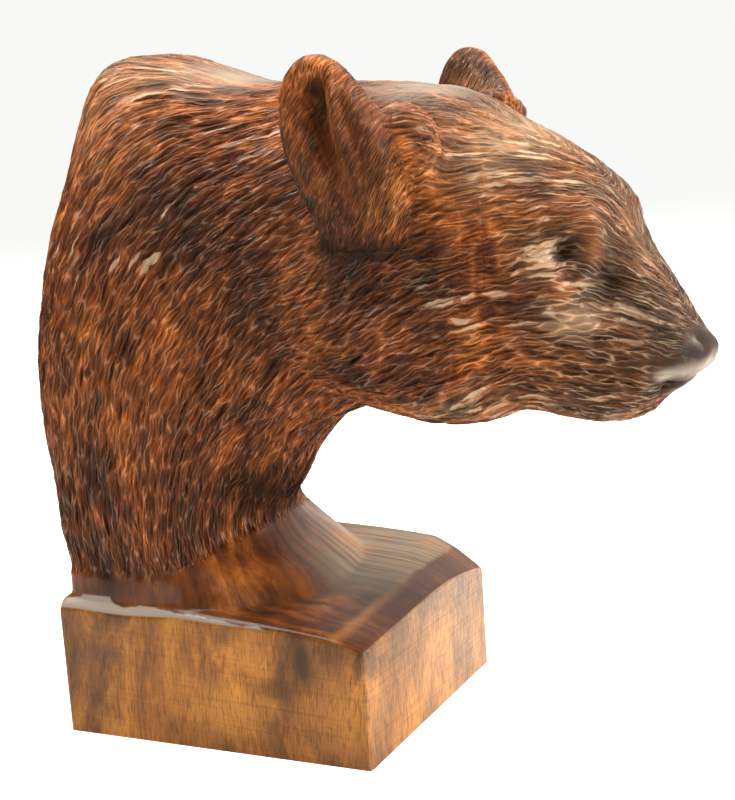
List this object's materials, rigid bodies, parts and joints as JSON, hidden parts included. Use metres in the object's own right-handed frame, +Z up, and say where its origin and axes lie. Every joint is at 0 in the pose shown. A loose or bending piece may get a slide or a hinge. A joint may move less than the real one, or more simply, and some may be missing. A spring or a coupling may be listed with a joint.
{
  "type": "carved bear bust",
  "caption": "Carved hardwood bear's head and neck with chiselled fur, on a plinth of the same block with a sloping polished top.",
  "frame": {"origin": "middle of the plinth's flat underside", "axes": "+X the way the snout points, +Y to the bear's left, +Z up"},
  "size_m": [0.2015, 0.1072, 0.1995],
  "materials": {
    "dark_hardwood": "glossy lacquer over dark, figured, red-brown hardwood"
  },
  "bodies": {
    "root": {"bear_bust": "dark_hardwood"}
  },
  "joints": []
}
